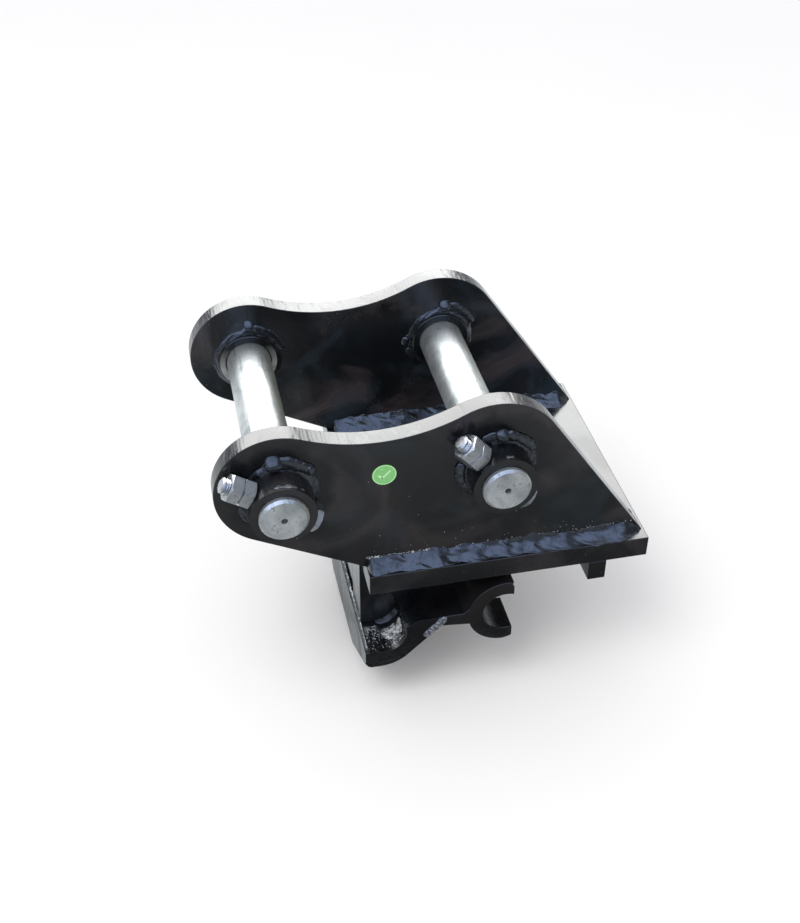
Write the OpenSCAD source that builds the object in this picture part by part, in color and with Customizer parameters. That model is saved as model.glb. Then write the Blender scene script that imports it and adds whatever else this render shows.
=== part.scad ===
// Mechanical quick coupler for a mini excavator.
// +X points to the front, where the jaws open; +Y points to the far side; +Z is up.
// The origin is under the middle of the coupler, level with the bottom of the nose.

/* [Pins] */
// Diameter of the arm pin and the link pin
pin_d = 30; // [29:0.5:31]
// Distance between the two pin centres
pin_pitch = 135; // [130:1:140]
// Height of the pin centres above the bottom of the nose
pin_height = 182; // [182:1:190]
// How far each pin stands out of its bosses
pin_proud = 4; // [3:0.5:5]

/* [Ears] */
// Clear width between the two ears, where the arm goes
ear_gap = 139; // [135:1:145]
// Thickness of an ear plate
ear_t = 13; // [12:0.5:14]
// Radius of the ear's lobe round the link pin
link_lobe_r = 39; // [38:0.5:40]
// Radius of the ear's lobe round the arm pin
arm_lobe_r = 44; // [43:0.5:45]
// Radius of the saddle between the lobes
saddle_r = 120; // [115:1:130]

/* [Bosses] */
// Outer diameter of a boss tube
boss_d = 40.5; // [40:0.5:43]
// How far a boss stands out of the ear's outer face
boss_out = 19.5; // [19:0.5:22]
// How far a boss stands out of the ear's inner face
boss_in = 4; // [3:0.5:5]

/* [Base plate] */
// Length of the base plate
base_l = 186; // [184:1:190]
// Width of the base plate
base_w = 183; // [181:1:185]
// Thickness of the base plate
base_t = 15; // [14:0.5:16]
// Height of the pin centres above the base plate
pin_above_base = 68; // [67:1:70]
// Distance from the link pin back to the base plate's rear edge
base_setback = 52.5; // [52:0.5:54]

/* [Jaws] */
// Bore of a jaw, for a 30 mm cross bar
jaw_d = 30.2; // [30.1:0.1:30.3]
// Thickness of a jaw's ring
jaw_wall = 10; // [9:0.5:11]
// Distance from the link pin to the jaw's centre
jaw_x = 143.5; // [142:0.5:145]
// Drop from the pins to the jaw's centre
jaw_drop = 115.5; // [115:0.5:116]
// Width of a jaw and of the nose's wings
jaw_w = 29; // [28:0.5:30]

/* [Lock] */
// Thickness of a cheek
cheek_t = 27; // [26:0.5:28]
// Diameter of a lock bolt
lock_d = 20; // [18:0.5:20]
// Distance of each lock bolt from the middle
lock_y = 22; // [22:0.5:22.5]
// How far the lock bolts stand out when locked
lock_out = 15; // [12:0.5:15]
// How far the crosshead draws the bolts back
lock_stroke = 15; // [12:0.5:15]
// Outer diameter of the spindle's thread
spindle_d = 14; // [12:0.5:14]
// Width across flats of the spindle's hexagon
spindle_af = 16; // [14:0.5:16]

/* [Fasteners] */
// Diameter of the pin bolts
bolt_d = 10; // [9:0.5:10]
// Width across flats of the pin bolts' heads and nuts
bolt_af = 16; // [15:0.5:17]
// Height of a nut
nut_h = 8; // [7.5:0.5:8.5]

/* [Welds] */
// Leg of the fillet welds along the ears
weld_leg = 8.5; // [7:0.5:9]
// Leg of the outer ring welds along the bosses
ring_leg = 4; // [3:0.5:5]
// Leg of the ring welds along the ears
ring_reach = 8; // [6:0.5:9]

/* [Hidden] */
$fn = 64;

// Running clearance on the radius of a bore
fit = 0.05;
// Overlap that makes a cut go right through
cut = 1;

// Places along X, measured from the link pin as the shop drawing does
link_x = link_lobe_r - (link_lobe_r + base_setback + base_l) / 2;
arm_x = link_x + pin_pitch;
base_x0 = link_x + base_setback;
base_x1 = base_x0 + base_l;

// Heights
base_top = pin_height - pin_above_base;
base_bottom = base_top - base_t;
jaw_z = pin_height - jaw_drop;

// Widths
ear_y0 = ear_gap / 2;
ear_y1 = ear_y0 + ear_t;
half_w = base_w / 2;
boss_y0 = ear_y0 - boss_in;
boss_y1 = ear_y1 + boss_out;
cheek_y1 = half_w - jaw_w;
cheek_y0 = cheek_y1 - cheek_t;
bolt_y = ear_y1 + bolt_af / 2 + 0.5;

// Ear outline: the lobes stand this far above the pins, and its edges slope down to the base plate
lobe_rise = 3.5;
arm_lobe_back = 2;
rear_slope = 27;
front_slope = 55;

// Nose: top face, underside of the wings and the rear face
nose_x0 = link_x + 49;
nose_top = pin_height - 136;
wing_bottom = nose_top - 13.3;
wing_low_x = nose_x0 + 10.75;
nose_tip_x = link_x + 98;
nose_tip_z = pin_height - 122;
hollow_r = 14;
hollow_x = link_x + 63;
hollow_z = nose_top + hollow_r;

// Stem between a jaw and the nose
stem_z0 = pin_height - 120;
stem_z1 = pin_height - 112.3;

// Cheeks
cheek_x0 = link_x + 51;
cheek_front_top = link_x + 151;
cheek_front_low = link_x + 115.5;

// Lock
lock_z = base_bottom - 15;
block_x0 = cheek_x0;
block_x1 = block_x0 + 28;
block_h = 39;
head_x0 = block_x0 - 10;
crosshead_x0 = block_x1 + 7;
crosshead_l = 14;
crosshead_x1 = crosshead_x0 + crosshead_l;
bearing_x0 = crosshead_x1 + lock_stroke + 2;
bearing_l = 10;
journal_d = 10;
side_gap = 0.3;

steel = "silver";
paint = "#26282b";
weld_paint = "#3a3e48";

// Points of an arc about [x, z], from angle a0 to angle a1 in n steps
function arc(x, z, r, a0, a1, n) =
    [for (i = [0 : n]) let (a = a0 + (a1 - a0) * i / n) [x + r * cos(a), z + r * sin(a)]];

// Where two circles of radius ra and rb about [0, 0] and [d, 0] meet, on the +Z side
function meet(ra, rb, d) =
    let (x = (ra * ra - rb * rb + d * d) / (2 * d)) [x, sqrt(ra * ra - x * x)];

// Extrudes an XZ outline from y0 to y1
module slab(y0, y1) {
    translate([0, y1, 0]) rotate([90, 0, 0]) linear_extrude(y1 - y0) children();
}

// Draws the children on the near side of the part, or mirrored on the far side
module side(near) {
    mirror([0, near ? 1 : 0, 0]) children();
}

// Cylinder along +X from x0 to x1
module rod_x(x0, x1, d) {
    translate([x0, 0, 0]) rotate([0, 90, 0]) cylinder(h = x1 - x0, d = d);
}

// Cylinder along +Y from y0 to y1
module rod_y(y0, y1, d) {
    translate([0, y0, 0]) rotate([-90, 0, 0]) cylinder(h = y1 - y0, d = d);
}

// Hexagonal prism along +Z
module hexagon(h, af) {
    cylinder(h = h, d = af / cos(30), $fn = 6);
}

// ---- Ears ----

function ear_outline() =
    let (
        lx = link_x,
        ax = arm_x - arm_lobe_back,
        z = pin_height + lobe_rise,
        m = meet(link_lobe_r + saddle_r, arm_lobe_r + saddle_r, ax - lx),
        sx = lx + m[0],
        sz = z + m[1],
        a_link = atan2(m[1], m[0]),
        a_arm = atan2(m[1], m[0] - (ax - lx)),
        fall = z - base_top,
        rear = -90 - rear_slope,
        front = 90 - front_slope,
        x_rear = lx + (link_lobe_r + sin(rear) * fall) / cos(rear),
        x_front = ax + (arm_lobe_r + sin(front) * fall) / cos(front)
    )
    concat(
        [[x_rear, base_top], [x_front, base_top]],
        arc(ax, z, arm_lobe_r, front, a_arm, 30),
        arc(sx, sz, saddle_r, a_arm - 180, a_link - 180, 20),
        arc(lx, z, link_lobe_r, a_link, 360 + rear, 48)
    );

module ear(near) {
    color(paint) side(near) difference() {
        slab(ear_y0, ear_y1) polygon(ear_outline());
        for (x = [link_x, arm_x]) translate([x, 0, pin_height]) rod_y(ear_y0 - cut, ear_y1 + cut, boss_d);
    }
}

// ---- Bosses, pins and their bolts ----

// Turns the children so that +Z becomes the direction of a pin bolt, from its head to its nuts
module along_bolt(x, lean) {
    translate([x, -bolt_y, pin_height]) rotate([0, lean, 0]) children();
}

link_bolt_lean = -58;
arm_bolt_lean = -42;

module boss(x, near, lean) {
    color(paint) difference() {
        translate([x, 0, pin_height]) side(near) difference() {
            rod_y(boss_y0, boss_y1, boss_d);
            rod_y(boss_y0 - cut, boss_y1 + cut, pin_d + 2 * fit);
        }
        if (near) along_bolt(x, lean) cylinder(h = 2 * boss_d, d = bolt_d + 2 * fit, center = true);
    }
}

module pin(x, lean) {
    chamfer = 1.6;
    end = boss_y1 + pin_proud;
    centre_d = 4;
    centre_h = 5;
    color(steel) difference() {
        translate([x, 0, pin_height]) union() {
            rod_y(chamfer - end, end - chamfer, pin_d);
            for (s = [-1, 1]) rotate([-90 * s, 0, 0]) translate([0, 0, end - chamfer])
                cylinder(h = chamfer, d1 = pin_d, d2 = pin_d - 2 * chamfer);
        }
        for (s = [-1, 1]) translate([x, 0, pin_height]) rotate([-90 * s, 0, 0])
            translate([0, 0, end - centre_h]) cylinder(h = centre_h + cut, d = centre_d);
        along_bolt(x, lean) cylinder(h = 2 * boss_d, d = bolt_d + 2 * fit, center = true);
    }
}

module pin_bolt(x, lean) {
    head_h = 5;
    stub = 4;
    color(steel) along_bolt(x, lean) {
        translate([0, 0, -boss_d / 2 - head_h]) hexagon(head_h, bolt_af);
        translate([0, 0, -boss_d / 2]) cylinder(h = boss_d + 2 * nut_h + stub, d = bolt_d);
    }
}

module pin_nut(x, lean, place) {
    color(steel) along_bolt(x, lean) translate([0, 0, boss_d / 2 + place * nut_h]) difference() {
        hexagon(nut_h, bolt_af);
        translate([0, 0, -cut]) cylinder(h = nut_h + 2 * cut, d = bolt_d);
    }
}

module link_boss_near() { boss(link_x, true, link_bolt_lean); }
module arm_boss_near() { boss(arm_x, true, arm_bolt_lean); }
module link_boss_far() { boss(link_x, false, link_bolt_lean); }
module arm_boss_far() { boss(arm_x, false, arm_bolt_lean); }
module link_pin() { pin(link_x, link_bolt_lean); }
module arm_pin() { pin(arm_x, arm_bolt_lean); }
module link_pin_bolt() { pin_bolt(link_x, link_bolt_lean); }
module arm_pin_bolt() { pin_bolt(arm_x, arm_bolt_lean); }
module link_pin_nut() { pin_nut(link_x, link_bolt_lean, 0); }
module link_pin_lock_nut() { pin_nut(link_x, link_bolt_lean, 1); }
module arm_pin_nut() { pin_nut(arm_x, arm_bolt_lean, 0); }
module arm_pin_lock_nut() { pin_nut(arm_x, arm_bolt_lean, 1); }

// ---- Base plate and what hangs under it ----

module base_plate() {
    color(paint) translate([base_x0, -half_w, base_bottom]) cube([base_l, base_w, base_t]);
}

module stop_bar() {
    bar_x = link_x + 199;
    bar_w = 12;
    bar_h = 15;
    color(paint) translate([bar_x, -half_w, base_bottom - bar_h]) cube([bar_w, base_w, bar_h]);
}

module cheek(near) {
    relief = 3;
    outline = [
        [cheek_x0, base_bottom],
        [cheek_x0, nose_top],
        [cheek_front_low, nose_top],
        [cheek_front_top, base_bottom]
    ];
    color(paint) side(near) difference() {
        slab(cheek_y0, cheek_y1) polygon(outline);
        translate([link_x + jaw_x, 0, jaw_z]) rod_y(cheek_y0 - cut, cheek_y1 + cut, jaw_d + relief);
    }
}

// Wing of the nose: a thick lip under a round hollow, which rises to the jaw's stem
function wing_outline() =
    let (corner = 5, belly = 25)
    concat(
        [[nose_x0, nose_top]],
        arc(hollow_x, hollow_z, hollow_r, -90, 20, 14),
        [[nose_tip_x - 13, stem_z1], [nose_tip_x, stem_z1], [nose_tip_x, nose_tip_z]],
        arc(wing_low_x, wing_bottom + belly, belly, -46, -90, 9),
        arc(nose_x0 + corner, wing_bottom + corner, corner, 270, 180, 6)
    );

// The nose's bowl is this much narrower than its wings on each side
bowl_inset = 1.5;

// Section of the nose between the wings, seen from behind: a wide bowl with a flat bottom
function bowl_outline() =
    let (
        flat = 21,
        knee = 38,
        knee_z = 4,
        end = half_w - bowl_inset,
        low = [[-end, nose_top], [-end, wing_bottom + 2], [-knee, knee_z], [-flat, 0]]
    )
    concat(low, [for (i = [3 : -1 : 0]) [-low[i][0], low[i][1]]]);

module nose() {
    heel = 5;
    keel = 12;
    bowl_l = 60;
    color(paint) union() {
        for (near = [true, false]) side(near) slab(cheek_y1, half_w) polygon(wing_outline());
        intersection() {
            slab(bowl_inset - half_w, half_w - bowl_inset)
                polygon([
                    [nose_x0, nose_top],
                    [nose_x0, heel],
                    [nose_x0 + heel, 0],
                    [nose_x0 + keel, 0],
                    [wing_low_x + 8, wing_bottom + 2],
                    [wing_low_x + 16, wing_bottom + 6.5],
                    [nose_tip_x - 14.5, nose_top]
                ]);
            translate([nose_x0, 0, 0]) rotate([90, 0, 90]) linear_extrude(bowl_l) polygon(bowl_outline());
        }
    }
}

// Jaw: a ring cut open at the front, with a flat lower lip and a stem that runs back to the nose
function jaw_outline() =
    let (
        r = jaw_d / 2 + jaw_wall,
        x = link_x + jaw_x,
        lip = 5.5,
        a_top = 78,
        a_bottom = -92,
        a_stem_top = 164,
        a_stem_low = -164,
        neck = 3
    )
    concat(
        [[x + lip, jaw_z - jaw_d / 2], [x + lip, jaw_z - r + 2], [x + lip - 2, jaw_z - r + 1]],
        arc(x, jaw_z, r, a_bottom, a_stem_low, 12),
        [[nose_tip_x, stem_z0], [nose_tip_x, stem_z1], [x - r - neck, stem_z1]],
        arc(x, jaw_z, r, a_stem_top, a_top, 16),
        [[x + lip - 1.5, jaw_z + r * 0.93], [x + lip, jaw_z + r * 0.82], [x + lip, jaw_z + jaw_d / 2 - 1.4]],
        [[x, jaw_z + 2], [x, jaw_z - 2]]
    );

module jaw(near) {
    mouth_l = 20;
    color(paint) side(near) difference() {
        slab(cheek_y1, half_w) polygon(jaw_outline());
        translate([link_x + jaw_x, 0, jaw_z]) rod_y(cheek_y1 - cut, half_w + cut, jaw_d);
        translate([link_x + jaw_x, cheek_y1 - cut, jaw_z - jaw_d / 2])
            cube([mouth_l, jaw_w + 2 * cut, jaw_d / 2 + 1]);
    }
}

module near_ear() { ear(true); }
module far_ear() { ear(false); }
module near_cheek() { cheek(true); }
module far_cheek() { cheek(false); }
module near_jaw() { jaw(true); }
module far_jaw() { jaw(false); }

// ---- Lock ----

module guide_block() {
    color(paint) difference() {
        translate([block_x0, -cheek_y0, base_bottom - block_h])
            cube([block_x1 - block_x0, 2 * cheek_y0, block_h]);
        for (y = [-lock_y, 0, lock_y]) translate([0, y, lock_z])
            rod_x(block_x0 - cut, block_x1 + cut, (y == 0 ? spindle_d : lock_d) + 2 * fit);
    }
}

module bearing_block() {
    w = 32;
    h = 30;
    color(paint) difference() {
        translate([bearing_x0, -w / 2, base_bottom - h]) cube([bearing_l, w, h]);
        translate([0, 0, lock_z]) rod_x(bearing_x0 - cut, bearing_x0 + bearing_l + cut, journal_d + 2 * fit);
    }
}

roll_d = 5;
roll_wall = 1;

module crosshead() {
    h = 28;
    color(steel) difference() {
        translate([crosshead_x0, side_gap - cheek_y0, lock_z - h / 2])
            cube([crosshead_l, 2 * (cheek_y0 - side_gap), h]);
        for (y = [-lock_y, 0, lock_y]) translate([0, y, lock_z])
            rod_x(crosshead_x0 - cut, crosshead_x1 + cut, y == 0 ? spindle_d + 2 * fit : lock_d);
        for (y = [-lock_y, lock_y]) translate([crosshead_x0 + crosshead_l / 2, y, lock_z])
            cylinder(h = h + 2 * cut, d = roll_d, center = true);
    }
}

// Lock bolt: its end, which goes into the attachment, is turned down a little
module lock_bolt(y) {
    x0 = block_x0 - lock_out;
    chamfer = 2.5;
    end_d = lock_d - 1;
    end_l = 11;
    color(steel) difference() {
        translate([0, y, lock_z]) union() {
            rod_x(x0 + chamfer + end_l, crosshead_x1, lock_d);
            rod_x(x0 + chamfer, x0 + chamfer + end_l, end_d);
            translate([x0, 0, 0]) rotate([0, 90, 0])
                cylinder(h = chamfer, d1 = end_d - 2 * chamfer, d2 = end_d);
        }
        translate([crosshead_x0 + crosshead_l / 2, y, lock_z])
            cylinder(h = lock_d + 2 * cut, d = roll_d, center = true);
    }
}

module near_lock_bolt() { lock_bolt(-lock_y); }
module far_lock_bolt() { lock_bolt(lock_y); }

module crosshead_pins() {
    h = 27;
    slit = 0.8;
    color(steel) for (y = [-lock_y, lock_y]) translate([crosshead_x0 + crosshead_l / 2, y, lock_z])
        difference() {
            cylinder(h = h, d = roll_d, center = true);
            cylinder(h = h + 2 * cut, d = roll_d - 2 * roll_wall, center = true);
            translate([0, -slit / 2, -h]) cube([roll_d, slit, 2 * h]);
        }
}

washer_t = 1.5;
washer_d = 21;
collar_l = 5;
collar_d = 22;
collar_pin_d = 3;

module spindle() {
    color(steel) translate([0, 0, lock_z]) difference() {
        union() {
            translate([head_x0, 0, 0]) rotate([0, 90, 0]) hexagon(block_x0 - washer_t - head_x0, spindle_af);
            rod_x(block_x0 - washer_t, bearing_x0 - cut, spindle_d);
            rod_x(bearing_x0 - cut, bearing_x0 + bearing_l, journal_d);
        }
        translate([block_x1 + side_gap + collar_l / 2, 0, 0])
            cylinder(h = spindle_d + 2 * cut, d = collar_pin_d, center = true);
    }
}

module spindle_washer() {
    color(steel) translate([0, 0, lock_z]) difference() {
        rod_x(block_x0 - washer_t, block_x0, washer_d);
        rod_x(block_x0 - washer_t - cut, block_x0 + cut, spindle_d + 2 * fit);
    }
}

module spindle_collar() {
    color(steel) translate([0, 0, lock_z]) difference() {
        rod_x(block_x1 + side_gap, block_x1 + side_gap + collar_l, collar_d);
        rod_x(block_x1, block_x1 + collar_l + cut, spindle_d);
        translate([block_x1 + side_gap + collar_l / 2, 0, 0])
            cylinder(h = collar_d + 2 * cut, d = collar_pin_d, center = true);
    }
}

module collar_pin() {
    color(steel) translate([block_x1 + side_gap + collar_l / 2, 0, lock_z])
        cylinder(h = collar_d - 0.5, d = collar_pin_d, center = true);
}

// ---- Welds ----

// Fillet bead along X from x0 to x1, in the corner at [y, z], towards dy and dz
module bead_x(x0, x1, y, z, dy, dz) {
    translate([x0, y, z]) rotate([90, 0, 90]) linear_extrude(x1 - x0) polygon([[0, 0], [dy, 0], [0, dz]]);
}

module ear_welds() {
    x0 = link_x + 56;
    x1 = base_x1 - 4;
    color(weld_paint) for (near = [true, false]) side(near) {
        bead_x(x0, x1, ear_y1, base_top, weld_leg, weld_leg);
        bead_x(x0 + 4, x1, ear_y0, base_top, -weld_leg, weld_leg);
    }
}

// Ring bead round a boss, from y (on the ear) out to y + leg
module ring_bead(x, y, leg) {
    translate([x, y, pin_height]) rotate([-90, 0, 0]) difference() {
        cylinder(h = leg, d1 = boss_d + 2 * ring_reach, d2 = boss_d + 1);
        translate([0, 0, -cut]) cylinder(h = leg + 2 * cut, d = boss_d);
    }
}

// The outer beads on the near side are dressed back to clear the heads and nuts of the pin bolts
module boss_welds() {
    inner_leg = boss_in / 2;
    room_d = bolt_af / cos(30) + 1;
    color(weld_paint) difference() {
        for (near = [true, false], x = [link_x, arm_x]) side(near) {
            ring_bead(x, ear_y1, ring_leg);
            translate([0, 2 * ear_y0, 0]) mirror([0, 1, 0]) ring_bead(x, ear_y0, inner_leg);
        }
        along_bolt(link_x, link_bolt_lean) cylinder(h = 3 * boss_d, d = room_d, center = true);
        along_bolt(arm_x, arm_bolt_lean) cylinder(h = 3 * boss_d, d = room_d, center = true);
    }
}

module cheek_welds() {
    leg = 6;
    x0 = cheek_x0 + 4;
    color(weld_paint) for (near = [true, false]) side(near) {
        bead_x(x0, cheek_front_top - 12, cheek_y1, base_bottom, leg, -leg);
        bead_x(block_x0 + 1, link_x + 63, cheek_y1, nose_top, leg - 1, leg - 1);
    }
}

// Bead with round ends on the outer face of each joint between a jaw's stem and the nose
module jaw_welds() {
    l = 17;
    r = 3.3;
    h = 1.8;
    color(weld_paint) for (near = [true, false]) side(near) slab(half_w, half_w + h)
        translate([link_x + 91.5, pin_height - 125.5]) rotate(49)
            polygon(concat(arc(0, 0, r, 90, 270, 8), arc(l, 0, r, -90, 90, 8)));
}

module check_sticker() {
    d = 15;
    t = 0.25;
    color("limegreen") translate([link_x + 64, 0, pin_height + 6]) side(true) rod_y(ear_y1, ear_y1 + t, d);
}

near_ear();
far_ear();
link_boss_near();
arm_boss_near();
link_boss_far();
arm_boss_far();
link_pin();
arm_pin();
link_pin_bolt();
arm_pin_bolt();
link_pin_nut();
link_pin_lock_nut();
arm_pin_nut();
arm_pin_lock_nut();
base_plate();
stop_bar();
near_cheek();
far_cheek();
nose();
near_jaw();
far_jaw();
guide_block();
bearing_block();
near_lock_bolt();
far_lock_bolt();
crosshead();
crosshead_pins();
spindle();
spindle_washer();
spindle_collar();
collar_pin();
ear_welds();
boss_welds();
cheek_welds();
jaw_welds();
check_sticker();
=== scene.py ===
"""Looks for the quick coupler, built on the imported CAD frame.
Units are metres. +X points to the front, where the jaws open, +Y to the far side and +Z up."""
import math
import random

import bpy
from mathutils import Matrix, Vector, noise


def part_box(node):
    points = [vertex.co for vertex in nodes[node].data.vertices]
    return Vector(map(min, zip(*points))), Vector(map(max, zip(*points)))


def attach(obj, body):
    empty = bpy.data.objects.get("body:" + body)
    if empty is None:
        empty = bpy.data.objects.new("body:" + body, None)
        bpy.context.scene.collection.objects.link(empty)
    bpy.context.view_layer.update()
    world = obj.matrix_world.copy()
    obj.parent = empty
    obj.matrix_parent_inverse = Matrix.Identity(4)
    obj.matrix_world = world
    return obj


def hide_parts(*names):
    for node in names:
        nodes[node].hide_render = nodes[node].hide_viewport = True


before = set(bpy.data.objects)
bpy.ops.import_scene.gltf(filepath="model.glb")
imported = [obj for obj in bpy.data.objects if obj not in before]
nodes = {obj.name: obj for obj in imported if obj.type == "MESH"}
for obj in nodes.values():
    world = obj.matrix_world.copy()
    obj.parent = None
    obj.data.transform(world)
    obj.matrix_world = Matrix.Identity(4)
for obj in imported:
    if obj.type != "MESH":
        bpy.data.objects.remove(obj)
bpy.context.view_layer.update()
rnd = random.Random(7)


# ---- Places read off the CAD frame ----

def bounds_of(name):
    lo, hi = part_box(name)
    return Vector(lo), Vector(hi)


link_lo, link_hi = bounds_of("link_pin")
arm_lo, arm_hi = bounds_of("arm_pin")
link_at = Vector(((link_lo.x + link_hi.x) / 2, 0, (link_lo.z + link_hi.z) / 2))
arm_at = Vector(((arm_lo.x + arm_hi.x) / 2, 0, (arm_lo.z + arm_hi.z) / 2))
ear_lo, ear_hi = bounds_of("far_ear")
ear_in, ear_out = ear_lo.y, ear_hi.y
boss_lo, boss_hi = bounds_of("link_boss_far")
boss_r = (boss_hi.z - boss_lo.z) / 2
base_lo, base_hi = bounds_of("base_plate")
cheek_lo, cheek_hi = bounds_of("far_cheek")
nose_lo, nose_hi = bounds_of("nose")
jaw_hi = bounds_of("far_jaw")[1]
block_lo, block_hi = bounds_of("guide_block")
bearing_lo = bounds_of("bearing_block")[0]
spin_lo, spin_hi = bounds_of("spindle")
lock_z = (spin_lo.z + spin_hi.z) / 2
X, Y, Z = Vector((1, 0, 0)), Vector((0, 1, 0)), Vector((0, 0, 1))


# ---- Shaders ----

class Nodes:
    """A node tree that is filled with short calls. A socket's value is a constant or another socket."""

    def __init__(self, tree):
        self.tree = tree
        tree.nodes.clear()

    def node(self, kind, **settings):
        n = self.tree.nodes.new("ShaderNode" + kind)
        for key, value in settings.items():
            setattr(n, key, value)
        return n

    def put(self, socket, value):
        if isinstance(value, bpy.types.NodeSocket):
            self.tree.links.new(value, socket)
        else:
            socket.default_value = value

    def split(self, vector):
        """The x, y and z of a vector."""
        n = self.node("SeparateXYZ")
        self.put(n.inputs[0], vector)
        return n.outputs

    def ramp(self, value, lo, hi, a=0.0, b=1.0, kind="LINEAR"):
        """a where the value is lo or beyond it, b where it is hi or beyond it."""
        n = self.node("MapRange", interpolation_type=kind)
        for key, v in (("Value", value), ("From Min", lo), ("From Max", hi), ("To Min", a), ("To Max", b)):
            self.put(n.inputs[key], v)
        return n.outputs[0]

    def math(self, op, a, b=0.0):
        n = self.node("Math", operation=op)
        self.put(n.inputs[0], a)
        self.put(n.inputs[1], b)
        return n.outputs[0]

    def mix(self, share, a, b):
        """Colour a where the share is 0, colour b where it is 1."""
        n = self.node("Mix", data_type="RGBA")
        self.put(n.inputs[0], share)
        for socket, v in ((n.inputs[6], a), (n.inputs[7], b)):
            self.put(socket, v if isinstance(v, bpy.types.NodeSocket) else (*v, 1.0))
        return n.outputs[2]


class Shader(Nodes):
    """A material with one Principled shader."""

    def __init__(self, name):
        self.mat = bpy.data.materials.new(name)
        self.mat.use_nodes = True
        super().__init__(self.mat.node_tree)
        self.bsdf = self.node("BsdfPrincipled")
        out = self.node("OutputMaterial")
        self.put(out.inputs["Surface"], self.bsdf.outputs[0])
        self.place = self.node("TexCoord").outputs["Object"]
        self.normal = self.node("NewGeometry").outputs["Normal"]

    def set(self, **values):
        """Sets the shader's inputs. An underscore in a name stands for a space."""
        for key, value in values.items():
            self.put(self.bsdf.inputs[key.replace("_", " ")], value)
        return self

    def noise(self, scale, detail=2.0, warp=0.0, stretch=(1, 1, 1), shift=0.0):
        """Noise with features about 1 / scale metres wide.
        A stretch below 1 along an axis makes them longer along it."""
        at = self.node("Mapping")
        self.put(at.inputs["Vector"], self.place)
        at.inputs["Scale"].default_value = stretch
        at.inputs["Location"].default_value = (shift, shift, shift)
        n = self.node("TexNoise")
        self.put(n.inputs["Vector"], at.outputs[0])
        n.inputs["Scale"].default_value = scale
        n.inputs["Detail"].default_value = detail
        n.inputs["Distortion"].default_value = warp
        return n.outputs[0]

    def facing(self, axis):
        """1 on faces square to the axis, 0 on faces along it."""
        return self.math("ABSOLUTE", self.split(self.normal)[axis])

    def bump(self, height, distance, strength=1.0, under=None):
        n = self.node("Bump")
        n.inputs["Strength"].default_value = strength
        n.inputs["Distance"].default_value = distance
        self.put(n.inputs["Height"], height)
        if under is not None:
            self.put(n.inputs["Normal"], under)
        return n.outputs[0]


def times(color, factor):
    return tuple(v * factor for v in color)


def paint(name, cut_edges=False, rough=0.17, cast=0.0, haze=1.0, rims=None, fresh=()):
    """Black gloss paint with faint smudges, dust specks and orange peel.
    cast is the strength of a rough cast surface under it, and haze that of the grey smudges.
    rims is a height: end faces below it get a pale, uneven painted reflection of the bright floor. fresh are
    places with thicker, blacker paint."""
    s = Shader(name)
    smudge = s.ramp(s.noise(13, 4, 1.2), 0.48, 0.7)
    warm = s.ramp(s.noise(19, 5, 0.8, shift=4), 0.5, 0.66)
    cool = s.ramp(s.noise(27, 4, 1.0, shift=8), 0.5, 0.7)
    speck = s.ramp(s.noise(520, 1, shift=5), 0.785, 0.81)
    deep = 0.5 + 0.5 * haze
    base = s.mix(smudge, times((0.0028, 0.0036, 0.0045), deep), times((0.009, 0.0078, 0.0082), deep))
    base = s.mix(s.math("MULTIPLY", warm, 0.55), base, times((0.028, 0.023, 0.0245), haze))
    base = s.mix(s.math("MULTIPLY", cool, 0.45), base, times((0.011, 0.018, 0.024), haze))
    base = s.mix(s.math("MULTIPLY", speck, 0.5), base, (0.3, 0.3, 0.3))
    for centre in fresh:
        # distance from the boss's axis, whatever the depth, with a wandering edge
        flat = s.node("VectorMath", operation="MULTIPLY")
        s.put(flat.inputs[0], s.place)
        flat.inputs[1].default_value = (1, 0, 1)
        gap = s.node("VectorMath", operation="DISTANCE")
        s.put(gap.inputs[0], flat.outputs[0])
        gap.inputs[1].default_value = (centre.x, 0, centre.z + 0.006)
        wander = s.math("MULTIPLY", s.noise(48, 3, 0.8, shift=7), 0.022)
        reach = s.math("ADD", gap.outputs["Value"], wander)
        base = s.mix(s.ramp(reach, 0.047, 0.040), base, (0.0012, 0.0016, 0.0022))
    if rims is not None:
        # painted reflection, pale and uneven, on faces square to Y only
        low = s.ramp(s.split(s.place)[2], rims + 0.012, rims - 0.004)
        ends = s.ramp(s.facing(1), 0.85, 0.97)
        patches = s.ramp(s.noise(90, 4, 0.5, shift=2), 0.3, 0.6, 0.55, 1.0)
        base = s.mix(s.math("MULTIPLY", s.math("MULTIPLY", low, ends), patches), base, (0.3, 0.305, 0.3))
    gloss = s.math("ADD", s.math("MULTIPLY", s.math("MAXIMUM", smudge, warm), 0.13), rough)
    s.set(Base_Color=base, Roughness=gloss, IOR=1.5)
    peel = s.bump(s.noise(520, 2), 0.00005)
    flow = s.bump(s.noise(34, 2, 0.5), 0.0005, 0.3, peel)
    if cast:
        dimples = s.bump(s.noise(120, 3, 0.6), 0.0012, cast * 0.7, flow)
        flow = s.bump(s.noise(330, 4, 0.3), 0.0006, cast, dimples)
    if cut_edges:
        # flame-cut edges carry drag lines across the plate's thickness, and dents
        drag = s.noise(620, 2, stretch=(1, 0.05, 1))
        dents = s.ramp(s.noise(110, 4, 0.4, (1, 0.3, 1)), 0.5, 0.7)
        edge = s.ramp(s.facing(1), 0.3, 0.6, 1.0, 0.0)
        uneven = s.math("MULTIPLY", s.math("SUBTRACT", drag, s.math("MULTIPLY", dents, 1.5)), edge)
        flow = s.bump(uneven, 0.0002, 1.0, flow)
    return s.set(Normal=flow).mat


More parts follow.
